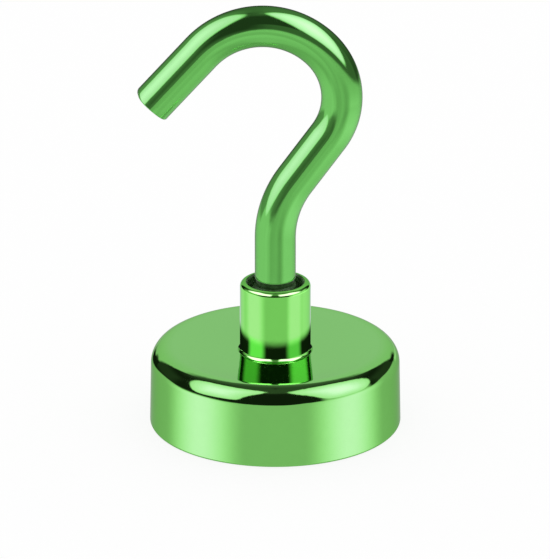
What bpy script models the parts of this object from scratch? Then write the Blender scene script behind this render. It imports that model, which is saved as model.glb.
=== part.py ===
"""Magnetic hook: a steel cup that holds a disc magnet, a threaded neck riveted through the cup's
floor, and a bent wire hook screwed into the neck.

Metres, +Z up. The origin is the centre of the magnet's face, which lies in the plane z = 0. The
cup, the neck and the hook's thread share the Z axis. The hook bends in the XZ plane and opens
towards -X.
"""

import math

import bmesh
import bpy

MM = 0.001

# Clearance between pieces that are fixed to each other
FIT_GAP = 0.1 * MM

# Steel cup
CUP_D = 16.0 * MM
CUP_H = 5.2 * MM
CUP_WALL = 1.3 * MM
CUP_FLOOR = 1.45 * MM
CUP_DRAFT = 0.08 * MM
SHOULDER_R = 1.2 * MM
RIM_ROUND = 0.2 * MM
POCKET_ROUND = 0.3 * MM
TOP_SLOPE = math.radians(9.0)

# Neck that stands on the cup
NECK_D = 4.5 * MM
NECK_H = 4.5 * MM
NECK_FOOT_R = 0.2 * MM
NECK_LIP_R = 0.32 * MM
MOUTH_D = 3.55 * MM
MOUTH_DEPTH = 0.85 * MM
MOUTH_CHAMFER = 0.1 * MM
BORE_END = 0.25 * MM
DRILL_POINT = math.radians(118.0)

# Stub under the neck, spread like a rivet in the cup's floor
STUB_D = 3.2 * MM
STUB_HEAD_D = 4.5 * MM
STUB_HEAD_H = 0.6 * MM

# Thread, drawn as rings so that the hook can turn in place
THREAD_D = 2.96 * MM
THREAD_PITCH = 0.5 * MM
THREAD_HEIGHT = 0.28 * MM
THREAD_GAP = 0.1 * MM
CREST_SHARE = 1 / 8
ROOT_SHARE = 1 / 4

# Hook, bent from round rod
ROD_D = 2.6 * MM
ROD_RISE = 0.22 * MM
ROD_EDGE = 0.16 * MM
SHANK_LENGTH = 2.75 * MM
LEAN_R = 6.6 * MM
LEAN_ANGLE = math.radians(35.7)
LEAN_RUN = 3.58 * MM
BACK_R = 4.5 * MM
BACK_ANGLE = math.radians(80.3)
CROWN_R = 5.16 * MM
CROWN_ANGLE = math.radians(93.4)
TIP_RUN = 4.98 * MM

# Magnet, and what holds it in the cup
RESIN_T = 0.35 * MM
MAGNET_EDGE = 0.15 * MM
ADHESIVE_T = 0.2 * MM
ADHESIVE_EDGE = 0.05 * MM
ADHESIVE_MARGIN = 0.3 * MM
RESIN_RECESS = 0.15 * MM

# Fineness of the round shapes
CUP_STEPS = 64
NECK_STEPS = 40
THREAD_STEPS = 28
ROD_BEVEL_RESOLUTION = 10
BEND_STEP = math.radians(6.0)
ROUND_STEP = math.radians(18.0)
DISH_STEPS = 5
SHARP_ANGLE = math.radians(35.0)
SAWN_ANGLE = math.radians(60.0)
WELD = CUP_D / 1e6

# Places worked out from the sizes above
CUP_R = CUP_D / 2
CUP_TOP_R = CUP_R - CUP_DRAFT
POCKET_R = CUP_R - CUP_WALL
NECK_R = NECK_D / 2
SEAT_R = NECK_R + NECK_FOOT_R + FIT_GAP
STUB_R = STUB_D / 2
STUB_HEAD_R = STUB_HEAD_D / 2
MOUTH_R = MOUTH_D / 2
ROD_R = ROD_D / 2
THREAD_CREST_R = THREAD_D / 2
THREAD_ROOT_R = THREAD_CREST_R - THREAD_HEIGHT
THREAD_TOP = -MOUTH_DEPTH - MOUTH_CHAMFER
BORE_BOTTOM = -(NECK_H - BORE_END)
THREAD_RINGS = int((THREAD_TOP - BORE_BOTTOM) / THREAD_PITCH)
LEAD_RINGS = int(-THREAD_TOP / THREAD_PITCH)
DISH_R = CUP_TOP_R - SHOULDER_R - SHOULDER_R * math.sin(TOP_SLOPE)
DISH_Z = CUP_H - SHOULDER_R + SHOULDER_R * math.cos(TOP_SLOPE)
SEAT_Z = DISH_Z - (DISH_R - SEAT_R) * math.tan(TOP_SLOPE) / 2
POCKET_Z = SEAT_Z - CUP_FLOOR
MAGNET_T = POCKET_Z - ADHESIVE_T - 2 * FIT_GAP
MAGNET_R = POCKET_R - RESIN_T - 2 * FIT_GAP
NECK_FOOT_Z = SEAT_Z + FIT_GAP
NECK_TOP_Z = NECK_FOOT_Z + NECK_H

# Finishes: linear colour, roughness, metallic
GREEN_PLATE = ((0.28, 0.80, 0.18), 0.10, 1.0)
NICKEL = ((0.62, 0.60, 0.56), 0.25, 1.0)
RESIN = ((0.02, 0.02, 0.022), 0.45, 0.0)
ADHESIVE = ((0.50, 0.44, 0.26), 0.50, 0.0)


def clear_scene():
    for obj in list(bpy.data.objects):
        bpy.data.objects.remove(obj, do_unlink=True)


def new_collection(name):
    collection = bpy.data.collections.new(name)
    bpy.context.scene.collection.children.link(collection)
    return collection


def make_material(name, finish):
    colour, roughness, metallic = finish
    material = bpy.data.materials.new(name)
    material.use_nodes = True
    shader = material.node_tree.nodes["Principled BSDF"]
    shader.inputs["Base Color"].default_value = (*colour, 1.0)
    shader.inputs["Roughness"].default_value = roughness
    shader.inputs["Metallic"].default_value = metallic
    material.diffuse_color = (*colour, 1.0)
    return material


def arc(centre_r, centre_z, radius, start, end):
    """Points of an arc in the (radius, height) plane, both ends included."""
    steps = max(2, math.ceil(abs(end - start) / ROUND_STEP))
    angles = [start + (end - start) * index / steps for index in range(steps + 1)]
    return [(centre_r + radius * math.cos(a), centre_z + radius * math.sin(a)) for a in angles]


def turned(name, outline, steps, closed):
    """A solid turned about Z. The outline runs down its outer side, top to bottom."""
    mesh = bpy.data.meshes.new(name)
    vertices = [(r, 0.0, z) for r, z in outline]
    edges = [(index, index + 1) for index in range(len(outline) - 1)]
    if closed:
        edges.append((len(outline) - 1, 0))
    mesh.from_pydata(vertices, edges, [])
    obj = bpy.data.objects.new(name, mesh)
    bpy.context.scene.collection.objects.link(obj)
    screw = obj.modifiers.new("Turn", "SCREW")
    screw.axis = "Z"
    screw.steps = steps
    screw.render_steps = steps
    screw.use_merge_vertices = True
    screw.merge_threshold = WELD
    return obj


def apply_modifiers(obj):
    """Give the object its evaluated shape as a plain mesh, smooth but for its sharp edges."""
    bpy.context.view_layer.update()
    evaluated = obj.evaluated_get(bpy.context.evaluated_depsgraph_get())
    mesh = bpy.data.meshes.new_from_object(evaluated)
    obj.modifiers.clear()
    obj.data = mesh
    mesh.shade_smooth()
    mesh.set_sharp_from_angle(angle=SHARP_ANGLE)


def finish(obj, material, collection, parent, height):
    """Put a piece in its collection, at its height on the common axis, under its parent."""
    for owner in list(obj.users_collection):
        owner.objects.unlink(obj)
    collection.objects.link(obj)
    obj.data.materials.clear()
    obj.data.materials.append(material)
    obj.parent = parent
    parent_height = parent.matrix_world.translation.z if parent else 0.0
    obj.location = (0.0, 0.0, height - parent_height)
    bpy.context.view_layer.update()


def dish_height(radius):
    """Height of the cup's hollowed top, which rises from the neck's seat to the shoulder."""
    share = (radius - SEAT_R) / (DISH_R - SEAT_R)
    return SEAT_Z + (DISH_Z - SEAT_Z) * share * share


def cup_outline():
    hole_r = STUB_R + FIT_GAP
    sink_r = STUB_HEAD_R + FIT_GAP
    sink_top = POCKET_Z + STUB_HEAD_H + FIT_GAP
    spread = [SEAT_R + (DISH_R - SEAT_R) * index / DISH_STEPS for index in range(DISH_STEPS)]
    outline = [(hole_r, SEAT_Z)]
    outline += [(radius, dish_height(radius)) for radius in spread]
    outline += arc(CUP_TOP_R - SHOULDER_R, CUP_H - SHOULDER_R, SHOULDER_R, math.pi / 2 + TOP_SLOPE, 0.0)
    outline += arc(CUP_R - RIM_ROUND, RIM_ROUND, RIM_ROUND, 0.0, -math.pi / 2)
    outline += [(POCKET_R, 0.0)]
    outline += arc(POCKET_R - POCKET_ROUND, POCKET_Z - POCKET_ROUND, POCKET_ROUND, 0.0, math.pi / 2)
    outline += [(sink_r, POCKET_Z), (hole_r, sink_top)]
    return outline


def ring_thread(top, count, root_r, crest_r):
    """Rings of a thread form, listed downwards from the height top."""
    crest = THREAD_PITCH * CREST_SHARE
    flank = (THREAD_PITCH - crest - THREAD_PITCH * ROOT_SHARE) / 2
    points = []
    for index in range(count):
        middle = top - (index + 0.5) * THREAD_PITCH
        points.append((root_r, middle + crest / 2 + flank))
        points.append((crest_r, middle + crest / 2))
        points.append((crest_r, middle - crest / 2))
        points.append((root_r, middle - crest / 2 - flank))
    return points


def neck_outline():
    """Heights are measured from the neck's mouth, so the foot is at -NECK_H."""
    bore_r = THREAD_ROOT_R + THREAD_GAP
    groove_r = THREAD_CREST_R + THREAD_GAP
    drill_depth = bore_r / math.tan(DRILL_POINT / 2)
    grooves = ring_thread(THREAD_TOP, THREAD_RINGS, bore_r, groove_r)
    seat = -NECK_H
    stub_bottom = seat - FIT_GAP - CUP_FLOOR
    outline = [(0.0, BORE_BOTTOM - drill_depth), (bore_r, BORE_BOTTOM)]
    outline += list(reversed(grooves))
    outline += [(bore_r, -MOUTH_DEPTH), (MOUTH_R, -MOUTH_DEPTH)]
    outline += [(MOUTH_R, -MOUTH_CHAMFER), (MOUTH_R + MOUTH_CHAMFER, 0.0)]
    outline += arc(NECK_R - NECK_LIP_R, -NECK_LIP_R, NECK_LIP_R, math.pi / 2, 0.0)
    outline += arc(NECK_R + NECK_FOOT_R, seat + NECK_FOOT_R, NECK_FOOT_R, math.pi, math.pi * 1.5)
    outline += [(STUB_R, seat), (STUB_R, stub_bottom + STUB_HEAD_H)]
    outline += [(STUB_HEAD_R, stub_bottom), (0.0, stub_bottom)]
    return outline


def thread_outline():
    """The hook's threaded end, whose rings lie in the neck's. Heights are from the mouth."""
    start = THREAD_TOP + LEAD_RINGS * THREAD_PITCH
    end = THREAD_TOP - THREAD_RINGS * THREAD_PITCH
    outline = [(0.0, ROD_RISE + ROD_R), (THREAD_ROOT_R, ROD_RISE + ROD_R)]
    outline += ring_thread(start, LEAD_RINGS + THREAD_RINGS, THREAD_ROOT_R, THREAD_CREST_R)
    outline += [(THREAD_ROOT_R - ROD_EDGE, end - ROD_EDGE), (0.0, end - ROD_EDGE)]
    return outline


def add_run(points, heading, length):
    x, z = points[-1]
    points.append((x + length * math.sin(heading), z + length * math.cos(heading)))


def add_bend(points, heading, radius, turn):
    """Add an arc to the path. A positive turn bends towards +X. Returns the new heading."""
    steps = math.ceil(abs(turn) / BEND_STEP)
    step = turn / steps
    chord = 2 * radius * math.sin(abs(step) / 2)
    for index in range(steps):
        add_run(points, heading + (index + 0.5) * step, chord)
    return heading + turn


def rod_path():
    """The rod's centre line as (x, z), from its foot above the mouth to the sawn tip."""
    points = [(0.0, ROD_RISE)]
    add_run(points, 0.0, SHANK_LENGTH)
    heading = add_bend(points, 0.0, LEAN_R, LEAN_ANGLE)
    add_run(points, heading, LEAN_RUN)
    heading = add_bend(points, heading, BACK_R, -BACK_ANGLE)
    heading = add_bend(points, heading, CROWN_R, -CROWN_ANGLE)
    add_run(points, heading, TIP_RUN)
    return points


def make_rod():
    """The bent rod as a closed mesh, with its two sawn edges broken."""
    path = rod_path()
    curve = bpy.data.curves.new("rod_path", "CURVE")
    curve.dimensions = "3D"
    curve.bevel_depth = ROD_R
    curve.bevel_resolution = ROD_BEVEL_RESOLUTION
    curve.use_fill_caps = True
    spline = curve.splines.new("POLY")
    spline.points.add(len(path) - 1)
    for point, (x, z) in zip(spline.points, path):
        point.co = (x, 0.0, z, 1.0)
    guide = bpy.data.objects.new("rod_path", curve)
    bpy.context.scene.collection.objects.link(guide)
    bpy.context.view_layer.update()
    evaluated = guide.evaluated_get(bpy.context.evaluated_depsgraph_get())
    mesh = bpy.data.meshes.new_from_object(evaluated)
    bpy.data.objects.remove(guide, do_unlink=True)
    weld = bmesh.new()
    weld.from_mesh(mesh)
    bmesh.ops.remove_doubles(weld, verts=weld.verts, dist=WELD)
    weld.to_mesh(mesh)
    weld.free()
    rod = bpy.data.objects.new("screw_hook", mesh)
    bpy.context.scene.collection.objects.link(rod)
    edge = rod.modifiers.new("Broken edge", "BEVEL")
    edge.limit_method = "ANGLE"
    edge.angle_limit = SAWN_ANGLE
    edge.width = ROD_EDGE
    edge.segments = 2
    return rod


def make_hook():
    """The rod joined to its threaded end, one solid whose origin is on the axis it turns about."""
    hook = make_rod()
    thread = turned("hook_thread", thread_outline(), THREAD_STEPS, closed=False)
    join = hook.modifiers.new("Join thread", "BOOLEAN")
    join.operation = "UNION"
    join.solver = "EXACT"
    join.object = thread
    apply_modifiers(hook)
    bpy.data.objects.remove(thread, do_unlink=True)
    return hook


def make_disc(name, radius, thickness, edge_width):
    """A plain disc standing on its own z = 0, with its edges broken by edge_width."""
    mesh = bpy.data.meshes.new(name)
    shape = bmesh.new()
    bmesh.ops.create_cone(shape, cap_ends=True, segments=CUP_STEPS, radius1=radius, radius2=radius,
                          depth=thickness)
    bmesh.ops.translate(shape, verts=shape.verts, vec=(0.0, 0.0, thickness / 2))
    shape.to_mesh(mesh)
    shape.free()
    obj = bpy.data.objects.new(name, mesh)
    bpy.context.scene.collection.objects.link(obj)
    edge = obj.modifiers.new("Broken edge", "BEVEL")
    edge.limit_method = "ANGLE"
    edge.width = edge_width
    edge.segments = 1
    apply_modifiers(obj)
    return obj


def resin_outline():
    inner_r = MAGNET_R + FIT_GAP
    outer_r = inner_r + RESIN_T
    top = MAGNET_T - MAGNET_EDGE
    return [(inner_r, top), (outer_r, top), (outer_r, RESIN_RECESS), (inner_r, RESIN_RECESS)]


def build():
    clear_scene()
    parts = new_collection("Magnetic_Hook")
    plate = make_material("green_plated_steel", GREEN_PLATE)
    nickel = make_material("nickel_plated_magnet", NICKEL)
    resin = make_material("potting_resin", RESIN)
    adhesive = make_material("adhesive", ADHESIVE)

    cup = turned("steel_cup", cup_outline(), CUP_STEPS, closed=True)
    apply_modifiers(cup)
    finish(cup, plate, parts, None, 0.0)

    neck = turned("threaded_neck", neck_outline(), NECK_STEPS, closed=False)
    apply_modifiers(neck)
    finish(neck, plate, parts, cup, NECK_TOP_Z)

    hook = make_hook()
    finish(hook, plate, parts, neck, NECK_TOP_Z)

    magnet = make_disc("magnet_disc", MAGNET_R, MAGNET_T, MAGNET_EDGE)
    finish(magnet, nickel, parts, cup, 0.0)

    ring = turned("resin_ring", resin_outline(), CUP_STEPS, closed=True)
    apply_modifiers(ring)
    finish(ring, resin, parts, cup, 0.0)

    layer = make_disc("adhesive_layer", MAGNET_R - ADHESIVE_MARGIN, ADHESIVE_T, ADHESIVE_EDGE)
    finish(layer, adhesive, parts, cup, MAGNET_T + FIT_GAP)


build()
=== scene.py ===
"""Looks of the magnetic hook: fine surfaces, green plating and a photographer's studio round it.

Lengths are in metres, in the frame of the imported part: +Z up, the magnet's face in the plane z = 0.
"""

import math

import bmesh
import bpy
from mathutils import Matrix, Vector


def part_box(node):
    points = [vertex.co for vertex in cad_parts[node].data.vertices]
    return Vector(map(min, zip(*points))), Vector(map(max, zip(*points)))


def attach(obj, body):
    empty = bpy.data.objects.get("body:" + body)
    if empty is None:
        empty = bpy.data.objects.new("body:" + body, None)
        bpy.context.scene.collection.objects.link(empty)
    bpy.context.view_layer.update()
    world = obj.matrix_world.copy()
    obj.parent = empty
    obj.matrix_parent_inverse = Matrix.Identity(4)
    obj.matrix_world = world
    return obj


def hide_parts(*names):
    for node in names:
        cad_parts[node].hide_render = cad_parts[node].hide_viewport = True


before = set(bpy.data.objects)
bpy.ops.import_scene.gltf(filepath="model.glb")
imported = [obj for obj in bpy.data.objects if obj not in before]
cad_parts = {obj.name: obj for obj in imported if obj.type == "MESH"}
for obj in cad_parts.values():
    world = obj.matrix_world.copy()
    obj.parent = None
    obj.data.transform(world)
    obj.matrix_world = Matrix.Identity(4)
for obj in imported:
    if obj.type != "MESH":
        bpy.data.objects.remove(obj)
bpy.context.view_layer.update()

MM = 0.001
PER_MM = 1 / MM
WHITE = (1.0, 1.0, 1.0)
NEARLY_ZERO = 1e-3

# Camera: the image's size, the place of the part's origin in it, the scale there, and the width of
# the sensor in millimetres
IMAGE_WIDTH = 550
IMAGE_HEIGHT = 559
ORIGIN_PIXEL_X = 275.3
ORIGIN_PIXEL_Y = 419.14
PIXELS_PER_MM = 15.64
CAMERA_DISTANCE = 400.0 * MM
CAMERA_ELEVATION = math.radians(22.51)
SENSOR = 36.0
NEAR_CLIP_SHARE = 0.01
FAR_CLIP_SHARE = 10.0

# Fineness of the surfaces
TURN_STEPS = 256
ROD_STEPS = 96
ARC_STEP = math.radians(6.0)
LEAST_ARC_STEPS = 2
BEND_STEP = math.radians(1.5)
RUN_STEPS = 4
DISH_STEPS = 32
STEPS_PER_PITCH = 16
SHARP_ANGLE = math.radians(18.0)

# Steel cup
CUP_H = 5.2 * MM
CUP_WALL = 1.3 * MM
CUP_FLOOR = 1.45 * MM
CUP_DRAFT = 0.08 * MM
SHOULDER_R = 1.2 * MM
RIM_ROUND = 0.2 * MM
RIM_INNER_ROUND = 0.1 * MM
POCKET_ROUND = 0.3 * MM
TOP_SLOPE = math.radians(9.0)

# Neck. Its wall spreads by the foot's radius, in a flare that starts and ends at these angles.
NECK_FOOT_R = 0.2 * MM
FOOT_FLARE_R = 0.36 * MM
FOOT_FLARE_START = math.radians(20.0)
FOOT_FLARE_END = math.radians(55.0)
NECK_LIP_R = 0.32 * MM
MOUTH_D = 3.55 * MM
MOUTH_DEPTH = 0.85 * MM
MOUTH_CHAMFER = 0.1 * MM
BORE_END = 0.25 * MM
DRILL_POINT = math.radians(118.0)
STUB_D = 3.2 * MM
STUB_HEAD_D = 4.5 * MM
STUB_HEAD_H = 0.6 * MM

# Clearance between the solids, and the gap drawn in its place where pieces touch
FIT_GAP = 0.1 * MM
CONTACT_GAP = 0.005 * MM

# Thread, with rings inside the neck and a helix that runs out in its mouth
THREAD_D = 2.96 * MM
THREAD_PITCH = 0.5 * MM
THREAD_HEIGHT = 0.28 * MM
THREAD_GAP = 0.1 * MM
CREST_SHARE = 1 / 8
ROOT_SHARE = 1 / 4
RUNOUT = 0.45 * MM

# Rod of the hook. The skin keeps its finer surface inside the solid's box. The rounding of the
# tip's edge goes from its size at the sides to those above and below by a power of the cosine.
ROD_D = 2.6 * MM
ROD_SKIN = 0.002 * MM
ROD_RISE = 0.22 * MM
ROD_FOOT_ROUND = 0.12 * MM
THREAD_END_EDGE = 0.16 * MM
SHANK_LENGTH = 2.75 * MM
LEAN_R = 6.6 * MM
LEAN_ANGLE = math.radians(35.7)
LEAN_RUN = 3.58 * MM
BACK_R = 4.5 * MM
BACK_ANGLE = math.radians(80.3)
CROWN_R = 5.16 * MM
CROWN_ANGLE = math.radians(93.4)
TIP_RUN = 4.98 * MM
TIP_SLANT = 0.3 * MM
TIP_ROUND_UPPER = 0.46 * MM
TIP_ROUND_LOWER = 0.14 * MM
TIP_ROUND_SIDE = 0.05 * MM
TIP_ROUND_POWER = 4

# Magnet, resin and glue. The glue's edge bulges by shares of its sway: (bulges round it, phase, share).
MAGNET_ROUND = 0.12 * MM
RESIN_SAG = 0.12 * MM
GLUE_ROUND = 0.06 * MM
GLUE_SWAY = 0.12 * MM
GLUE_BULGES = ((5, 1.0, 0.5), (11, 0.0, 0.3), (23, 2.0, 0.2))

# Noise: how fine it gets in relief, plating, clouds and marks, and the span of its values that counts
RELIEF_DETAIL = 1.0
PLATING_DETAIL = 2.0
CLOUD_DETAIL = 3.0
MARK_DETAIL = 4.0
NOISE_LOW = 0.3
NOISE_HIGH = 0.7

# Green plating: colour, roughness, and tint of its edge-on reflections. The colours were fitted to
# the photo by least squares, together with the studios below, and rounded.
CUP_LOOK = ((0.293, 0.832, 0.193), 0.055, (0.6, 0.75, 0.55))
NECK_LOOK = ((0.219, 0.782, 0.126), 0.065, (0.56, 0.66, 0.56))
ROD_LOOK = ((0.238, 0.826, 0.169), 0.07, (0.62, 0.54, 0.63))
CLOUD_SPREAD = 0.04
CLOUD_WAVES = 0.3 * PER_MM
MOTTLE_WAVES = 1.6 * PER_MM
HAZE_WAVES = 0.9 * PER_MM
HAZE_SPREAD = 0.25
PEEL_WAVES = 1.8 * PER_MM
PEEL_DEPTH = 0.0025 * MM

# Paler tone of the cup's hollowed top, painted light for the top's paler sheen, which fades out over the
# shoulder
DISH_PAINTED_LIGHT_TONE = (0.367, 0.879, 0.279)
DISH_FADE_INSIDE = 0.05 * MM
DISH_FADE_OUTSIDE = 0.94 * MM

# Ripples that the press left in the cup's shoulder
RIPPLE_WAVES = 1.9 * PER_MM
RIPPLE_SHARE = 1.5
RIPPLE_R = 7.2 * MM
RIPPLE_REACH = 0.6 * MM
RIPPLE_FADE = 0.1 * MM

# Threads and the neck's mouth: dull plating, darkened to paint the shade inside the mouth
THREAD_METAL = 0.3
THREAD_GLOSS = 0.05
THREAD_DARK = (0.024, 0.066, 0.018)
THREAD_PALE = (0.045, 0.115, 0.034)
MOUTH_DARK = (0.05, 0.12, 0.036)
MOUTH_PALE = (0.08, 0.2, 0.06)
THREAD_ROUGH = (0.3, 0.5)
THREAD_WAVES = 2.5 * PER_MM

# Nickel plating of the magnet
NICKEL_DARK = (0.56, 0.54, 0.50)
NICKEL_PALE = (0.68, 0.66, 0.62)
NICKEL_ROUGH = (0.16, 0.34)
NICKEL_WAVES = 0.7 * PER_MM
NICKEL_MARKS = 6.0 * PER_MM
NICKEL_DEPTH = 0.004 * MM

# Potting resin, with small burst bubbles
RESIN_DARK = (0.012, 0.012, 0.014)
RESIN_PALE = (0.035, 0.034, 0.034)
RESIN_ROUGH = (0.2, 0.42)
RESIN_WAVES = 1.2 * PER_MM
BUBBLE_WAVES = 1.4 * PER_MM
BUBBLE_SHARE = 0.22
BUBBLE_DEPTH = 0.05 * MM

# Glue
GLUE_DARK = (0.42, 0.36, 0.19)
GLUE_PALE = (0.60, 0.53, 0.34)
GLUE_ROUGH = (0.32, 0.55)
GLUE_WAVES = 0.8 * PER_MM
GLUE_MARKS = 3.0 * PER_MM
GLUE_DEPTH = 0.02 * MM

# Floor, which stays out of the metal's reflections because the studios below include it
FLOOR_R = 1.0
FLOOR_DROP = 0.02 * MM
FLOOR_GLOW = 0.87
FLOOR_COLOUR = (0.125, 0.125, 0.125)
WORLD_LEVEL = 1.0

# Studios that the pieces mirror, one for each plated piece and a plain one for the others. They
# give the brightness by azimuth (from the camera's side, + to the right) and elevation, in degrees.
# It is nowhere less than dark. The floor glows up to a horizon (elevation, softness, steps), which
# rises or falls in steps (azimuth, half width, rise). A zone adds brightness: (azimuth, half width,
# softness, elevation, half height, softness, brightness). Twins are zones with a like one on the
# other side. A lamp is (azimuth, elevation, half width, half height, roll, squareness, softness,
# brightness at its rim, in its middle), its sizes as tangents of angles. Light burns out between
# two levels, and ends with the tint that follows them, which holds less green, because green
# saturates first, and more blue. Most values here and in the rings below come from least-squares
# fits to the photo, rounded, and the others were set one by one.
ALL_ROUND = (0.0, 180.0, 10.0)
CUP_STUDIO = {
    "dark": 0.0135,
    "floor": 0.55,
    "horizon": (-0.8, 1.6, (
        (-159.0, 3.0, -11.0), (-134.0, 22.0, 11.0), (-99.0, 10.0, -3.4),
        (19.0, 12.0, 4.7), (105.0, 10.0, 6.2), (150.0, 12.0, -7.2),
    )),
    "twins": (
        (142.0, 38.0, 8.0, 15.5, 15.0, 8.0, 0.025),
        (180.0, 33.0, 40.0, 55.0, 11.0, 8.0, 0.12),
        (180.0, 24.0, 10.0, 10.0, 12.0, 10.0, 0.05),
    ),
    "zones": (
        (-167.0, 26.5, 3.0, 22.3, 24.0, 6.0, 0.62),
        (-144.5, 5.0, 2.5, 2.0, 8.0, 3.5, -0.62),
        (-151.5, 4.0, 2.0, -4.5, 5.0, 2.5, -0.62),
        (167.0, 22.5, 3.0, 22.3, 24.0, 6.0, 0.62),
        (147.0, 4.5, 4.0, 9.0, 5.0, 4.0, -0.8),
        (-73.0, 24.0, 23.0, -25.0, 20.0, 7.0, 1.09),
        (72.0, 24.0, 23.0, -23.0, 22.0, 7.0, 1.09),
        (69.0, 25.0, 4.0, 8.5, 8.0, 2.5, 0.55),
        (*ALL_ROUND, 86.0, 19.0, 6.0, 0.056),
    ),
    "lamps": (
        (-65.0, 43.6, 0.475, 0.694, 16.0, 6.5, 0.14, 1.18, 2.04),
        (72.5, 39.8, 0.526, 0.795, -7.0, 3.6, 0.15, 1.16, 2.28),
    ),
    "burn": (0.41, 2.12, (1.0, 0.606, 1.378)),
}
NECK_STUDIO = {
    "dark": 0.015,
    "floor": 0.0,
    "horizon": (0.0, 3.0, ()),
    "twins": ((180.0, 34.0, 3.0, 25.0, 25.0, 5.0, 0.6),),
    "zones": (
        (-86.0, 30.0, 13.0, 12.0, 16.0, 3.0, 0.62),
        (86.0, 34.0, 13.0, 12.0, 16.0, 3.0, 1.15),
        (-62.0, 46.0, 5.0, 48.0, 18.0, 4.0, 5.0),
        (57.0, 42.0, 5.0, 48.0, 18.0, 4.0, 5.0),
        (*ALL_ROUND, 68.0, 30.0, 12.0, 0.27),
    ),
    "lamps": (),
    "burn": (0.3, 2.59, (1.0, 0.445, 1.335)),
}
HOOK_STUDIO = {
    "dark": 0.045,
    "floor": 0.4,
    "horizon": (-7.5, 3.5, (
        (-98.0, 8.0, 8.5), (-53.0, 18.0, -13.0), (-6.0, 8.0, 17.5), (81.0, 60.0, -13.0),
    )),
    "twins": ((180.0, 26.0, 28.0, 48.0, 40.0, 25.0, 0.13),),
    "zones": (
        (-6.5, 22.0, 17.0, -39.5, 42.5, 13.0, 0.16),
        (99.0, 62.0, 18.0, -34.0, 17.0, 20.0, 0.47),
        (-45.0, 13.0, 6.0, -21.0, 10.0, 5.0, 0.11),
        (9.0, 36.0, 11.0, -16.0, 7.0, 5.0, -0.12),
        (12.0, 20.0, 8.0, -35.0, 8.0, 5.0, 0.07),
        (51.0, 9.0, 8.0, -51.0, 6.0, 5.0, -0.05),
        (-102.0, 52.0, 18.0, 7.0, 58.0, 23.0, 0.26),
        (140.0, 25.0, 25.0, 48.0, 40.0, 25.0, 0.12),
        (55.0, 56.0, 7.0, 6.5, 26.0, 2.0, 0.085),
        (-42.0, 13.0, 8.0, 4.0, 19.0, 12.0, 0.12),
        (*ALL_ROUND, 93.0, 12.0, 8.0, 0.084),
    ),
    "lamps": (
        (-80.4, 36.0, 0.603, 0.924, 33.8, 2.6, 0.3, 1.42, 2.07),
        (74.8, 50.2, 0.508, 0.78, -42.2, 4.3, 0.3, 1.75, 2.83),
    ),
    "burn": (0.3, 1.94, (1.0, 0.578, 1.275)),
}
PLAIN_STUDIO = {
    "dark": 0.25,
    "floor": 0.4,
    "horizon": (0.0, 3.0, ()),
    "twins": (),
    "zones": (),
    "lamps": CUP_STUDIO["lamps"],
    "burn": None,
}

# Domes that the studios glow on, each a step larger than the one before
DOME_R = 0.5
DOME_STEP = 0.01
DOME_FINENESS = 3

# Rings of light just above the cup, which the neck alone mirrors. Close by it mirrors the cup,
# which mirrors both lamps in green. Further out it mirrors the floor. A zone adds brightness:
# (azimuth, half width, softness, brightness), by the side of the neck that mirrors it, which is
# worked out in a few rounds.
RING_GAP = 0.01 * MM
FLOOR_RING = {
    "level": 0.755,
    "zones": (
        (-149.0, 31.0, 19.0, 0.72),
        (-74.0, 30.0, 16.0, 0.85),
        (68.0, 24.0, 10.0, 0.78),
        (138.0, 42.0, 9.0, 0.5),
    ),
    "inner": 4.3 * MM,
    "full": 6.2 * MM,
    "fading": 380.0 * MM,
    "outer": 400.0 * MM,
    "burn": NECK_STUDIO["burn"],
    "tint": WHITE,
}
CUP_RING = {
    "level": 0.0,
    "zones": ((-65.5, 27.0, 11.0, 1.0), (64.5, 23.0, 11.0, 0.72)),
    "inner": 2.0 * MM,
    "full": 2.1 * MM,
    "fading": 4.3 * MM,
    "outer": 6.0 * MM,
    "burn": None,
    "tint": (0.534, 1.0, 0.501),
}
AZIMUTH_ROUNDS = 3

# Level of a disc of light across the neck's mouth, which the hook alone mirrors. The hook doesn't
# mirror itself, and without the disc the mouth would look empty and black in its mirror image.
MOUTH_LIGHT = 0.4

# Places worked out from the frame and from the sizes above
cup_low, cup_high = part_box("steel_cup")
neck_low, neck_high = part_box("threaded_neck")
magnet_low, magnet_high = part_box("magnet_disc")
resin_low, resin_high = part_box("resin_ring")
glue_low, glue_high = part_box("adhesive_layer")
CUP_R = cup_high.x
CUP_TOP_R = CUP_R - CUP_DRAFT
POCKET_R = CUP_R - CUP_WALL
MOUTH_Z = neck_high.z
NECK_R = neck_high.x - NECK_FOOT_R
MOUTH_R = MOUTH_D / 2
STUB_R = STUB_D / 2
STUB_HEAD_R = STUB_HEAD_D / 2
ROD_R = ROD_D / 2 - ROD_SKIN
CREST_R = THREAD_D / 2
ROOT_R = CREST_R - THREAD_HEIGHT
SEAT_R = NECK_R + NECK_FOOT_R
DISH_R = CUP_TOP_R - SHOULDER_R - SHOULDER_R * math.sin(TOP_SLOPE)
DISH_Z = CUP_H - SHOULDER_R + SHOULDER_R * math.cos(TOP_SLOPE)
SEAT_Z = DISH_Z - (DISH_R - SEAT_R - FIT_GAP) * math.tan(TOP_SLOPE) / 2
POCKET_Z = SEAT_Z - CUP_FLOOR
THREAD_TOP = MOUTH_Z - MOUTH_DEPTH - MOUTH_CHAMFER
BORE_BOTTOM = SEAT_Z + FIT_GAP + BORE_END
THREAD_RINGS = int((THREAD_TOP - BORE_BOTTOM) / THREAD_PITCH)
THREAD_END = THREAD_TOP - THREAD_RINGS * THREAD_PITCH
ROD_FOOT_Z = MOUTH_Z + ROD_RISE + ROD_FOOT_ROUND
TIP_CUT = TIP_SLANT + TIP_ROUND_UPPER


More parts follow.
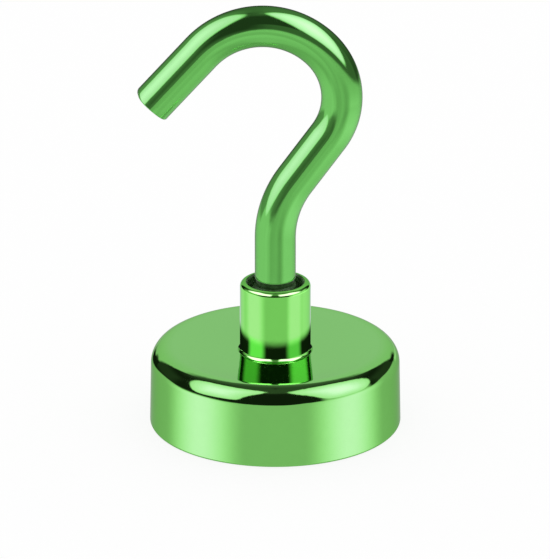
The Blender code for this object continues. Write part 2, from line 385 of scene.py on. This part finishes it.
def arc(centre_r, centre_z, radius, start, end):
    """Points of an arc in the (radius, height) plane, both ends included."""
    steps = max(LEAST_ARC_STEPS, math.ceil(abs(end - start) / ARC_STEP))
    angles = [start + (end - start) * index / steps for index in range(steps + 1)]
    return [(centre_r + radius * math.cos(a), centre_z + radius * math.sin(a)) for a in angles]


def finish_surface(obj):
    """Outward faces, smooth but for the sharp edges, shaded by the larger faces."""
    mesh = obj.data
    shape = bmesh.new()
    shape.from_mesh(mesh)
    bmesh.ops.recalc_face_normals(shape, faces=shape.faces)
    shape.to_mesh(mesh)
    shape.free()
    mesh.shade_smooth()
    mesh.set_sharp_from_angle(angle=SHARP_ANGLE)
    weighting = obj.modifiers.new("Flat faces stay flat", "WEIGHTED_NORMAL")
    weighting.mode = "FACE_AREA"
    weighting.keep_sharp = True


def ring_mesh(name, rings, closed):
    """A mesh through rings of points. A ring of one point is a pole. Closed joins last to first."""
    vertices = []
    starts = []
    for ring in rings:
        starts.append(len(vertices))
        vertices.extend(ring)
    faces = []
    pairs = list(zip(range(len(rings) - 1), range(1, len(rings))))
    if closed:
        pairs.append((len(rings) - 1, 0))
    for first, second in pairs:
        around = max(len(rings[first]), len(rings[second]))
        for index in range(around):
            following = (index + 1) % around
            if len(rings[first]) == 1:
                faces.append((starts[first], starts[second] + index, starts[second] + following))
            elif len(rings[second]) == 1:
                faces.append((starts[first] + index, starts[second], starts[first] + following))
            else:
                faces.append((starts[first] + index, starts[second] + index,
                              starts[second] + following, starts[first] + following))
    mesh = bpy.data.meshes.new(name)
    mesh.from_pydata(vertices, [], faces)
    return mesh


def lofted(name, rings, closed):
    obj = bpy.data.objects.new(name, ring_mesh(name, rings, closed))
    bpy.context.scene.collection.objects.link(obj)
    finish_surface(obj)
    return obj


def turned(name, outline, closed=False, wave=None):
    """A shape turned about Z from its (radius, height) outline. A wave varies the radius round it."""
    rings = []
    for radius, height in outline:
        if radius == 0.0:
            rings.append([(0.0, 0.0, height)])
            continue
        ring = []
        for index in range(TURN_STEPS):
            angle = 2 * math.pi * index / TURN_STEPS
            there = radius + (wave(angle, radius) if wave else 0.0)
            ring.append((there * math.cos(angle), there * math.sin(angle), height))
        rings.append(ring)
    return lofted(name, rings, closed)


def dish_height(radius):
    """Height of the cup's hollowed top, which rises from the neck's seat to the shoulder."""
    share = max(0.0, (radius - SEAT_R) / (DISH_R - SEAT_R))
    return SEAT_Z + (DISH_Z - SEAT_Z) * share * share


def make_cup():
    hole_r = STUB_R + FIT_GAP
    sink_r = STUB_HEAD_R + FIT_GAP
    sink_top = POCKET_Z + STUB_HEAD_H + FIT_GAP
    spread = [SEAT_R + (DISH_R - SEAT_R) * index / DISH_STEPS for index in range(DISH_STEPS)]
    outline = [(hole_r, SEAT_Z)]
    outline += [(radius, dish_height(radius)) for radius in spread]
    outline += arc(CUP_TOP_R - SHOULDER_R, CUP_H - SHOULDER_R, SHOULDER_R, math.pi / 2 + TOP_SLOPE, 0.0)
    outline += arc(CUP_R - RIM_ROUND, RIM_ROUND, RIM_ROUND, 0.0, -math.pi / 2)
    outline += arc(POCKET_R + RIM_INNER_ROUND, RIM_INNER_ROUND, RIM_INNER_ROUND, -math.pi / 2, -math.pi)
    outline += arc(POCKET_R - POCKET_ROUND, POCKET_Z - POCKET_ROUND, POCKET_ROUND, 0.0, math.pi / 2)
    outline += [(sink_r, POCKET_Z), (hole_r, sink_top)]
    return turned("cup_shell", outline, closed=True)


def ring_form(top, count, root_r, crest_r):
    """Rings of a thread form, listed downwards from the height top."""
    crest = THREAD_PITCH * CREST_SHARE
    flank = (THREAD_PITCH - crest - THREAD_PITCH * ROOT_SHARE) / 2
    points = []
    for index in range(count):
        middle = top - (index + 0.5) * THREAD_PITCH
        points.append((root_r, middle + crest / 2 + flank))
        points.append((crest_r, middle + crest / 2))
        points.append((crest_r, middle - crest / 2))
        points.append((root_r, middle - crest / 2 - flank))
    return points


def make_neck():
    bore_r = ROOT_R + THREAD_GAP
    groove_r = CREST_R + THREAD_GAP
    drill_depth = bore_r / math.tan(DRILL_POINT / 2)
    foot_z = SEAT_Z + CONTACT_GAP
    head_z = POCKET_Z + CONTACT_GAP
    outline = [(0.0, BORE_BOTTOM - drill_depth), (bore_r, BORE_BOTTOM)]
    outline += list(reversed(ring_form(THREAD_TOP, THREAD_RINGS, bore_r, groove_r)))
    outline += [(bore_r, MOUTH_Z - MOUTH_DEPTH), (MOUTH_R, MOUTH_Z - MOUTH_DEPTH)]
    outline += [(MOUTH_R, MOUTH_Z - MOUTH_CHAMFER), (MOUTH_R + MOUTH_CHAMFER, MOUTH_Z)]
    outline += arc(NECK_R - NECK_LIP_R, MOUTH_Z - NECK_LIP_R, NECK_LIP_R, math.pi / 2, 0.0)
    outline += arc(NECK_R + FOOT_FLARE_R * math.cos(FOOT_FLARE_START),
                   foot_z + FOOT_FLARE_R * math.sin(FOOT_FLARE_END), FOOT_FLARE_R,
                   math.pi + FOOT_FLARE_START, math.pi + FOOT_FLARE_END)
    outline += [(STUB_R, foot_z), (STUB_R, head_z + STUB_HEAD_H)]
    outline += [(STUB_HEAD_R, head_z), (0.0, head_z)]
    return turned("neck_collar", outline)


def thread_radius(angle, height):
    """The hook's thread: rings where the neck's thread is, a helix that fades out above it."""
    if height > THREAD_TOP:
        turns = (height - THREAD_TOP) / THREAD_PITCH - angle / (2 * math.pi)
        fade = min(1.0, max(0.0, (MOUTH_Z - height) / RUNOUT))
    else:
        turns = (height - THREAD_TOP) / THREAD_PITCH
        fade = 1.0
    from_crest = abs(turns % 1.0 - 0.5)
    flank_share = (1.0 - CREST_SHARE - ROOT_SHARE) / 2
    rise = min(1.0, max(0.0, (CREST_SHARE / 2 + flank_share - from_crest) / flank_share))
    return ROOT_R + THREAD_HEIGHT * rise * fade


def upright_ring(height, radius_at):
    """A ring about Z whose radius depends on the angle."""
    ring = []
    for index in range(ROD_STEPS):
        angle = 2 * math.pi * index / ROD_STEPS
        radius = radius_at(angle)
        ring.append((radius * math.cos(angle), radius * math.sin(angle), height))
    return ring


def thread_rings():
    """The threaded end and the rod's rounded foot, from the bottom up."""
    end = THREAD_END - THREAD_END_EDGE
    rings = [[(0.0, 0.0, end)], upright_ring(end, lambda angle: ROOT_R - THREAD_END_EDGE)]
    foot_angle = -math.acos(1.0 - (ROD_R - ROOT_R) / ROD_FOOT_ROUND)
    foot = arc(ROD_R - ROD_FOOT_ROUND, ROD_FOOT_Z, ROD_FOOT_ROUND, foot_angle, 0.0)
    thread_length = foot[0][1] - THREAD_END
    count = math.ceil(thread_length / THREAD_PITCH * STEPS_PER_PITCH)
    for index in range(count):
        height = THREAD_END + thread_length * index / count
        rings.append(upright_ring(height, lambda angle: thread_radius(angle, height)))
    for radius, height in foot:
        rings.append(upright_ring(height, lambda angle: radius))
    return rings


def rod_stations():
    """The rod's centre line as (x, z, heading), from above its foot to the tip."""
    stations = [(0.0, ROD_FOOT_Z, 0.0)]

    def advance(length, along, heading):
        x, z, _ = stations[-1]
        stations.append((x + length * math.sin(along), z + length * math.cos(along), heading))

    def run(length):
        heading = stations[-1][2]
        for _ in range(RUN_STEPS):
            advance(length / RUN_STEPS, heading, heading)

    def bend(radius, turn):
        steps = math.ceil(abs(turn) / BEND_STEP)
        chord = 2 * radius * math.sin(abs(turn) / steps / 2)
        for _ in range(steps):
            heading = stations[-1][2]
            advance(chord, heading + turn / steps / 2, heading + turn / steps)

    run(SHANK_LENGTH - ROD_FOOT_ROUND)
    bend(LEAN_R, LEAN_ANGLE)
    run(LEAN_RUN)
    bend(BACK_R, -BACK_ANGLE)
    bend(CROWN_R, -CROWN_ANGLE)
    run(TIP_RUN - TIP_CUT)
    return stations


def rod_ring(x, z, heading, offset_at, radius_at):
    """A ring square to the heading. The offset moves each point along the heading."""
    ring = []
    for index in range(ROD_STEPS):
        angle = 2 * math.pi * index / ROD_STEPS
        radius = radius_at(angle)
        offset = offset_at(angle)
        across = radius * math.cos(angle)
        ring.append((x + across * math.cos(heading) + offset * math.sin(heading),
                     radius * math.sin(angle),
                     z - across * math.sin(heading) + offset * math.cos(heading)))
    return ring


def tip_round(angle):
    """The sawn tip's edge is round on its upper side, less so on its lower, and crisp in between."""
    corner = TIP_ROUND_UPPER if math.cos(angle) > 0.0 else TIP_ROUND_LOWER
    return TIP_ROUND_SIDE + (corner - TIP_ROUND_SIDE) * math.cos(angle) ** TIP_ROUND_POWER


def tip_offset(angle):
    """The saw cut slants, so that the tip is shorter in front than at the back."""
    front_share = (1.0 - math.sin(angle)) / 2
    return TIP_CUT - TIP_SLANT * front_share


def rod_rings():
    rings = [rod_ring(x, z, heading, lambda angle: 0.0, lambda angle: ROD_R)
             for x, z, heading in rod_stations()[1:]]
    x, z, heading = rod_stations()[-1]
    steps = math.ceil(math.pi / 2 / ARC_STEP)
    for index in range(steps + 1):
        swing = math.pi / 2 * index / steps
        rings.append(rod_ring(
            x, z, heading,
            lambda angle: tip_offset(angle) - tip_round(angle) * (1.0 - math.sin(swing)),
            lambda angle: ROD_R - tip_round(angle) * (1.0 - math.cos(swing))))
    end = tip_offset(0.0)
    rings.append([(x + end * math.sin(heading), 0.0, z + end * math.cos(heading))])
    return rings


def make_hook():
    return lofted("hook_rod", thread_rings() + rod_rings(), closed=False)


def make_magnet():
    radius = magnet_high.x
    top = magnet_high.z
    outline = [(0.0, top)]
    outline += arc(radius - MAGNET_ROUND, top - MAGNET_ROUND, MAGNET_ROUND, math.pi / 2, 0.0)
    outline += arc(radius - MAGNET_ROUND, MAGNET_ROUND, MAGNET_ROUND, 0.0, -math.pi / 2)
    outline += [(0.0, 0.0)]
    return turned("magnet_body", outline)


def make_resin():
    """The resin's free face sags between the magnet and the cup's wall, and climbs at both."""
    inner = magnet_high.x + CONTACT_GAP
    outer = POCKET_R - CONTACT_GAP
    middle = (inner + outer) / 2
    half = (outer - inner) / 2
    outline = [(inner, resin_high.z), (outer, resin_high.z)]
    for index in range(DISH_STEPS + 1):
        radius = outer - (outer - inner) * index / DISH_STEPS
        sag_share = 1.0 - ((radius - middle) / half) ** 2
        outline.append((radius, resin_low.z + RESIN_SAG * sag_share))
    return turned("resin_fill", outline, closed=True)


def make_glue():
    """The film of glue, squeezed out unevenly."""
    def squeeze(angle, radius):
        sway = sum(share * math.sin(bulges * angle + phase) for bulges, phase, share in GLUE_BULGES)
        return GLUE_SWAY * sway * radius / glue_high.x

    radius = glue_high.x - GLUE_SWAY
    low, high = glue_low.z, glue_high.z
    outline = [(0.0, high)]
    outline += arc(radius - GLUE_ROUND, high - GLUE_ROUND, GLUE_ROUND, math.pi / 2, 0.0)
    outline += arc(radius - GLUE_ROUND, low + GLUE_ROUND, GLUE_ROUND, 0.0, -math.pi / 2)
    outline += [(0.0, low)]
    return turned("glue_film", outline, wave=squeeze)


def add_node(tree, kind, inputs=None, **settings):
    """Add a node, set its properties, and set or link its inputs. Returns its outputs."""
    node = tree.nodes.new(kind)
    for name, value in settings.items():
        setattr(node, name, value)
    for key, value in (inputs or {}).items():
        if isinstance(value, bpy.types.NodeSocket):
            tree.links.new(value, node.inputs[key])
        else:
            node.inputs[key].default_value = value
    return node.outputs


def calculate(tree, operation, *values):
    return add_node(tree, "ShaderNodeMath", dict(enumerate(values)), operation=operation)[0]


def calculate_vector(tree, operation, *values):
    """The outputs of a vector calculation, Vector and Value."""
    return add_node(tree, "ShaderNodeVectorMath", dict(enumerate(values)), operation=operation)


def product(tree, first, *others):
    for other in others:
        first = calculate(tree, "MULTIPLY", first, other)
    return first


def total(tree, first, *others):
    for other in others:
        first = calculate(tree, "ADD", first, other)
    return first


def ramp(tree, value, start, end, low=0.0, high=1.0):
    """A smooth step from low at start to high at end."""
    inputs = {"Value": value, "From Min": start, "From Max": end, "To Min": low, "To Max": high}
    return add_node(tree, "ShaderNodeMapRange", inputs, interpolation_type="SMOOTHSTEP")[0]


def span(tree, value, middle, half, soft):
    """1 within a span of values, 0 outside, with soft ends."""
    away = calculate(tree, "ABSOLUTE", calculate(tree, "SUBTRACT", value, middle))
    return ramp(tree, calculate(tree, "SUBTRACT", half, away), -soft, soft)


def own_place(tree):
    return add_node(tree, "ShaderNodeTexCoord")["Object"]


def noise(tree, waves, detail):
    """Noise in the piece's own coordinates, with so many waves per metre."""
    inputs = {"Vector": own_place(tree), "Scale": waves, "Detail": detail}
    return add_node(tree, "ShaderNodeTexNoise", inputs)["Fac"]


def noise_ramp(tree, waves, detail, low=0.0, high=1.0):
    """Noise from low to high, with the rare extremes cut off."""
    return ramp(tree, noise(tree, waves, detail), NOISE_LOW, NOISE_HIGH, low, high)


def opaque(colour):
    return (*colour, 1.0)


def colour_mix(tree, share, first, second):
    """A mix of two colours. The first may be a node's output."""
    if not isinstance(first, bpy.types.NodeSocket):
        first = opaque(first)
    return add_node(tree, "ShaderNodeMix", {0: share, 6: first, 7: opaque(second)}, data_type="RGBA")[2]


def shader_of(material):
    return material.node_tree.nodes["Principled BSDF"]


def finish(name, metallic, colours, share, roughness, height, depth):
    """A material whose colour follows a share of 0 to 1, with a roughness and a relief of its own."""
    material = bpy.data.materials.new(name)
    material.use_nodes = True
    tree = material.node_tree
    shader = shader_of(material)
    shader.inputs["Metallic"].default_value = metallic
    tree.links.new(colour_mix(tree, share(tree), *colours), shader.inputs["Base Color"])
    tree.links.new(roughness(tree), shader.inputs["Roughness"])
    relief = add_node(tree, "ShaderNodeBump", {"Height": height(tree), "Distance": depth})
    tree.links.new(relief["Normal"], shader.inputs["Normal"])
    return material


def plating(name, colour, roughness, edge_tint):
    """Green plating: a coloured mirror, clouded and mottled a little, with a faint orange peel."""
    def clouds(tree):
        large, small = (noise(tree, waves, PLATING_DETAIL) for waves in (CLOUD_WAVES, MOTTLE_WAVES))
        return calculate(tree, "DIVIDE", total(tree, large, small), 2.0)

    def haze(tree):
        low, high = roughness * (1.0 - HAZE_SPREAD), roughness * (1.0 + HAZE_SPREAD)
        return noise_ramp(tree, HAZE_WAVES, PLATING_DETAIL, low, high)

    def peel(tree):
        return noise(tree, PEEL_WAVES, RELIEF_DETAIL)

    tones = [[channel * factor for channel in colour]
             for factor in (1.0 - CLOUD_SPREAD, 1.0 + CLOUD_SPREAD)]
    material = finish(name, 1.0, tones, clouds, haze, peel, PEEL_DEPTH)
    shader_of(material).inputs["Specular Tint"].default_value = opaque(edge_tint)
    return material


def pressed_and_painted_top(material):
    """Give the hollowed top a paler tone, which is painted light, and the shoulder its ripples, by the
    distance from the axis.
    """
    tree = material.node_tree
    flat = calculate_vector(tree, "MULTIPLY", own_place(tree), (1.0, 1.0, 0.0))["Vector"]
    away = calculate_vector(tree, "LENGTH", flat)["Value"]
    share = ramp(tree, away, DISH_R - DISH_FADE_INSIDE, DISH_R + DISH_FADE_OUTSIDE, 1.0, 0.0)
    colour = shader_of(material).inputs["Base Color"]
    # The hollowed top's paler tone is painted light
    tree.links.new(colour_mix(tree, share, colour.links[0].from_socket, DISH_PAINTED_LIGHT_TONE), colour)
    ripples = product(tree, span(tree, away, RIPPLE_R, RIPPLE_REACH, RIPPLE_FADE),
                      noise(tree, RIPPLE_WAVES, RELIEF_DETAIL), RIPPLE_SHARE)
    height = tree.nodes["Bump"].inputs["Height"]
    tree.links.new(total(tree, height.links[0].from_socket, ripples), height)
    return material


def clouded(name, metallic, colours, waves, roughness, marks, depth):
    """A finish with soft clouds of colour, and fine marks in its roughness and relief."""
    def clouds(tree):
        return noise_ramp(tree, waves, CLOUD_DETAIL)

    def haze(tree):
        return noise_ramp(tree, marks, MARK_DETAIL, *roughness)

    def relief(tree):
        return noise(tree, marks, RELIEF_DETAIL)

    return finish(name, metallic, colours, clouds, haze, relief, depth)


def dull_painted_shade(name, colours):
    """Dull plating in a dark colour, which paints the shade in the threads and the mouth."""
    material = clouded(name, THREAD_METAL, colours, THREAD_WAVES, THREAD_ROUGH, THREAD_WAVES, PEEL_DEPTH)
    shader_of(material).inputs["Specular IOR Level"].default_value = THREAD_GLOSS
    return material


def bubbled_resin(name):
    def clouds(tree):
        return noise(tree, RESIN_WAVES, CLOUD_DETAIL)

    def haze(tree):
        return noise_ramp(tree, RESIN_WAVES, MARK_DETAIL, *RESIN_ROUGH)

    def bubbles(tree):
        inputs = {"Vector": own_place(tree), "Scale": BUBBLE_WAVES}
        return ramp(tree, add_node(tree, "ShaderNodeTexVoronoi", inputs)["Distance"], 0.0, BUBBLE_SHARE)

    return finish(name, 0.0, (RESIN_DARK, RESIN_PALE), clouds, haze, bubbles, BUBBLE_DEPTH)


def dress(piece, body, node, material, second=None, takes_second=None):
    """Give a piece its materials and its body, and hide the solid that it stands for."""
    piece.data.materials.append(material)
    if second:
        piece.data.materials.append(second)
        for face in piece.data.polygons:
            face.material_index = int(takes_second(face.center))
    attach(piece, body)
    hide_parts(node)
    return piece


def in_mouth(place):
    return place.z > SEAT_Z and place.xy.length < MOUTH_R + MOUTH_CHAMFER / 2


def on_thread(place):
    return place.z < MOUTH_Z + ROD_RISE


def lamp(tree, direction, place):
    """Brightness of a rounded, rolled lamp, far away, with soft edges and a brighter middle."""
    azimuth, elevation, half_width, half_height, roll, squareness, soft, rim, middle = place
    azimuth, elevation, roll = (math.radians(angle) for angle in (azimuth, elevation, roll))
    centre = Vector((math.sin(azimuth) * math.cos(elevation),
                     -math.cos(azimuth) * math.cos(elevation),
                     math.sin(elevation)))
    level_side = Vector((math.cos(azimuth), math.sin(azimuth), 0.0))
    level_up = centre.cross(level_side)
    side = level_side * math.cos(roll) + level_up * math.sin(roll)
    up = level_up * math.cos(roll) - level_side * math.sin(roll)

    def along(axis):
        return calculate_vector(tree, "DOT_PRODUCT", direction, axis)["Value"]

    ahead = along(centre)
    depth = calculate(tree, "MAXIMUM", ahead, NEARLY_ZERO)

    def reach(axis, half_size):
        share = calculate(tree, "DIVIDE", calculate(tree, "ABSOLUTE", along(axis)), depth)
        return calculate(tree, "POWER", calculate(tree, "DIVIDE", share, half_size), squareness)

    together = total(tree, reach(side, half_width), reach(up, half_height))
    from_middle = calculate(tree, "POWER", together, 1.0 / squareness)
    inside = ramp(tree, from_middle, 1.0 - soft / 2, 1.0 + soft / 2, 1.0, 0.0)
    facing = calculate(tree, "GREATER_THAN", ahead, NEARLY_ZERO)
    level = ramp(tree, from_middle, 0.0, 1.0, middle, rim)
    return product(tree, inside, facing, level)


def sky_level(tree, azimuth, elevation, plan):
    """Brightness of a studio without its lamps."""
    base, soft, steps = plan["horizon"]
    horizon = total(tree, base, *(ramp(tree, azimuth, middle - half, middle + half, 0.0, rise)
                                  for middle, half, rise in steps))
    above = calculate(tree, "SUBTRACT", elevation, horizon)
    levels = [ramp(tree, above, -soft, soft, plan["floor"], 0.0)]
    sideways = calculate(tree, "ABSOLUTE", azimuth)
    for zones, across in ((plan["twins"], sideways), (plan["zones"], azimuth)):
        for *places, brightness in zones:
            levels.append(product(tree, span(tree, across, *places[:3]), span(tree, elevation, *places[3:]),
                                  brightness))
    return calculate(tree, "MAXIMUM", total(tree, plan["dark"], *levels), plan["dark"])


def azimuth_of(tree, x, y):
    return calculate(tree, "ARCTAN2", x, calculate(tree, "MULTIPLY", y, -1.0))


def degrees(tree, angle):
    return calculate(tree, "MULTIPLY", angle, math.degrees(1.0))


def bare_material(name):
    """A material without nodes, and its node tree."""
    material = bpy.data.materials.new(name)
    material.use_nodes = True
    material.node_tree.nodes.clear()
    return material, material.node_tree


def glowing_air(name, make_level, burn, tint=WHITE):
    """A clear material that adds light. Bright light is tinted the way a photo burns out."""
    material, tree = bare_material(name)
    level = make_level(tree, own_place(tree))
    colour = opaque(tint)
    if burn:
        start, full, burnt = burn
        colour = colour_mix(tree, ramp(tree, level, start, full), tint, burnt)
    light = add_node(tree, "ShaderNodeEmission", {"Color": colour, "Strength": level})[0]
    clear = add_node(tree, "ShaderNodeBsdfTransparent")[0]
    both = add_node(tree, "ShaderNodeAddShader", {0: light, 1: clear})[0]
    add_node(tree, "ShaderNodeOutputMaterial", {"Surface": both})
    return material


def light_only(obj, material, pieces):
    """Make an object a light that only the given pieces see, and only in reflections."""
    bpy.context.scene.collection.objects.link(obj)
    obj.data.materials.append(material)
    obj.visible_camera = False
    obj.visible_diffuse = False
    obj.visible_transmission = False
    obj.visible_shadow = False
    receivers = bpy.data.collections.new(obj.name + "_receivers")
    for piece in pieces:
        receivers.objects.link(piece)
    obj.light_linking.receiver_collection = receivers


def simple_mesh(name, create, **sizes):
    """A mesh of one of bmesh's own shapes."""
    mesh = bpy.data.meshes.new(name)
    shape = bmesh.new()
    create(shape, **sizes)
    shape.to_mesh(mesh)
    shape.free()
    return mesh


def disc_mesh(name, radius):
    return simple_mesh(name, bmesh.ops.create_circle, cap_ends=True, segments=TURN_STEPS, radius=radius)


def make_studio(name, plan, radius, pieces):
    """A clear dome that glows inside as the plan says."""
    def level_at(tree, place):
        direction = calculate_vector(tree, "NORMALIZE", place)["Vector"]
        x, y, z = add_node(tree, "ShaderNodeSeparateXYZ", {0: direction})
        elevation = degrees(tree, calculate(tree, "ARCSINE", z))
        level = sky_level(tree, degrees(tree, azimuth_of(tree, x, y)), elevation, plan)
        for lamp_place in plan["lamps"]:
            level = calculate(tree, "MAXIMUM", level, lamp(tree, direction, lamp_place))
        return level

    mesh = simple_mesh(name, bmesh.ops.create_icosphere, subdivisions=DOME_FINENESS, radius=radius)
    light_only(bpy.data.objects.new(name, mesh), glowing_air(name, level_at, plan["burn"]), pieces)


def make_mouth_light(hook):
    glow = bpy.data.objects.new("mouth_light", disc_mesh("mouth_light", MOUTH_R + MOUTH_CHAMFER))
    glow.location.z = MOUTH_Z
    light_only(glow, glowing_air("mouth_light", lambda tree, place: MOUTH_LIGHT, None), [hook])


def make_ring(name, plan, height, neck):
    """A flat ring of light round the neck. Its zones are set by where the neck's wall mirrors them."""
    def level_at(tree, place):
        x, y, _ = add_node(tree, "ShaderNodeSeparateXYZ", {0: place})
        away = calculate_vector(tree, "LENGTH", place)["Value"]
        azimuth = azimuth_of(tree, x, y)
        closeness = calculate(tree, "DIVIDE", NECK_R, away)
        mirrored = azimuth
        for _ in range(AZIMUTH_ROUNDS):
            wall = calculate(tree, "SINE", calculate(tree, "DIVIDE", mirrored, 2.0))
            mirrored = total(tree, azimuth, calculate(tree, "ARCSINE", product(tree, closeness, wall)))
        mirrored = degrees(tree, mirrored)
        zones = [product(tree, span(tree, mirrored, *places), brightness)
                 for *places, brightness in plan["zones"]]
        level = total(tree, plan["level"], *zones)
        return product(tree, level, ramp(tree, away, plan["inner"], plan["full"]),
                       ramp(tree, away, plan["fading"], plan["outer"], 1.0, 0.0))

    rings = [[(radius * math.cos(2 * math.pi * index / TURN_STEPS),
               radius * math.sin(2 * math.pi * index / TURN_STEPS), 0.0) for index in range(TURN_STEPS)]
             for radius in (NECK_R + RING_GAP, plan["outer"])]
    glow = bpy.data.objects.new(name, ring_mesh(name, rings, closed=False))
    glow.location.z = height
    light_only(glow, glowing_air(name, level_at, plan["burn"], plan["tint"]), [neck])


def make_world():
    """White to the camera and in soft light, but dark in reflections, which show the studios alone."""
    world = bpy.data.worlds.new("daylight")
    bpy.context.scene.world = world
    world.use_nodes = True
    tree = world.node_tree
    tree.nodes.clear()
    mirrored = add_node(tree, "ShaderNodeLightPath")["Is Glossy Ray"]
    level = add_node(tree, "ShaderNodeMix", {0: mirrored, 2: WORLD_LEVEL, 3: 0.0})[0]
    background = add_node(tree, "ShaderNodeBackground", {"Color": opaque(WHITE), "Strength": level})
    add_node(tree, "ShaderNodeOutputWorld", {"Surface": background[0]})


def make_floor():
    """A pale floor that keeps the object's shadow, and is clear when it is seen from below."""
    floor = bpy.data.objects.new("floor", disc_mesh("floor", FLOOR_R))
    floor.location.z = -FLOOR_DROP
    bpy.context.scene.collection.objects.link(floor)
    floor.visible_glossy = False
    material, tree = bare_material("pale_floor")
    glowing = add_node(tree, "ShaderNodeEmission", {"Color": opaque(WHITE), "Strength": FLOOR_GLOW})[0]
    paper = add_node(tree, "ShaderNodeBsdfDiffuse", {"Color": opaque(FLOOR_COLOUR)})[0]
    above = add_node(tree, "ShaderNodeAddShader", {0: glowing, 1: paper})[0]
    below = add_node(tree, "ShaderNodeBsdfTransparent")[0]
    side = add_node(tree, "ShaderNodeNewGeometry")["Backfacing"]
    surface = add_node(tree, "ShaderNodeMixShader", {0: side, 1: above, 2: below})[0]
    add_node(tree, "ShaderNodeOutputMaterial", {"Surface": surface})
    floor.data.materials.append(material)


def make_camera():
    """The camera's tilt and turn put the part's origin at its pixel in the image."""
    focal_pixels = PIXELS_PER_MM * CAMERA_DISTANCE / MM
    data = bpy.data.cameras.new("camera")
    data.sensor_width = SENSOR
    data.lens = SENSOR * focal_pixels / max(IMAGE_WIDTH, IMAGE_HEIGHT)
    data.clip_start = CAMERA_DISTANCE * NEAR_CLIP_SHARE
    data.clip_end = CAMERA_DISTANCE * FAR_CLIP_SHARE
    camera = bpy.data.objects.new("camera", data)
    tilt = math.atan((ORIGIN_PIXEL_Y - IMAGE_HEIGHT / 2) / focal_pixels)
    turn = math.atan((ORIGIN_PIXEL_X - IMAGE_WIDTH / 2) / focal_pixels)
    camera.location = (0.0, -CAMERA_DISTANCE * math.cos(CAMERA_ELEVATION),
                       CAMERA_DISTANCE * math.sin(CAMERA_ELEVATION))
    camera.rotation_euler = (math.pi / 2 - CAMERA_ELEVATION + tilt, 0.0, turn)
    bpy.context.scene.collection.objects.link(camera)
    bpy.context.scene.camera = camera


# Dark, dull plating that paints the shade in the threads and the mouth
thread_plating_painted_shade = dull_painted_shade("thread_plating_painted_shade", (THREAD_DARK, THREAD_PALE))
mouth_plating_painted_shade = dull_painted_shade("mouth_plating_painted_shade", (MOUTH_DARK, MOUTH_PALE))
nickel = clouded("nickel", 1.0, (NICKEL_DARK, NICKEL_PALE), NICKEL_WAVES, NICKEL_ROUGH,
                 NICKEL_MARKS, NICKEL_DEPTH)
glue = clouded("glue", 0.0, (GLUE_DARK, GLUE_PALE), GLUE_WAVES, GLUE_ROUGH, GLUE_MARKS, GLUE_DEPTH)
cup = dress(make_cup(), "base", "steel_cup",
            pressed_and_painted_top(plating("cup_plating", *CUP_LOOK)))
neck = dress(make_neck(), "base", "threaded_neck",
             plating("neck_plating", *NECK_LOOK), mouth_plating_painted_shade, in_mouth)
hook = dress(make_hook(), "hook", "screw_hook",
             plating("rod_plating", *ROD_LOOK), thread_plating_painted_shade, on_thread)
magnet = dress(make_magnet(), "base", "magnet_disc", nickel)
resin = dress(make_resin(), "base", "resin_ring", bubbled_resin("resin"))
glue_film = dress(make_glue(), "base", "adhesive_layer", glue)

# The cup's top mirrors the neck, and no other piece is mirrored
for piece in (cup, hook, magnet, resin, glue_film):
    piece.visible_glossy = False

make_world()
make_floor()
studios = (
    ("cup_studio", CUP_STUDIO, [cup]),
    ("neck_studio", NECK_STUDIO, [neck]),
    ("hook_studio", HOOK_STUDIO, [hook]),
    ("plain_studio", PLAIN_STUDIO, [magnet, resin, glue_film]),
)
for index, (name, plan, pieces) in enumerate(studios):
    make_studio(name, plan, DOME_R + index * DOME_STEP, pieces)
make_ring("floor_ring", FLOOR_RING, SEAT_Z + RING_GAP, neck)
make_ring("cup_ring", CUP_RING, SEAT_Z + 2 * RING_GAP, neck)
make_mouth_light(hook)
make_camera()
bpy.context.scene.view_settings.view_transform = "Standard"
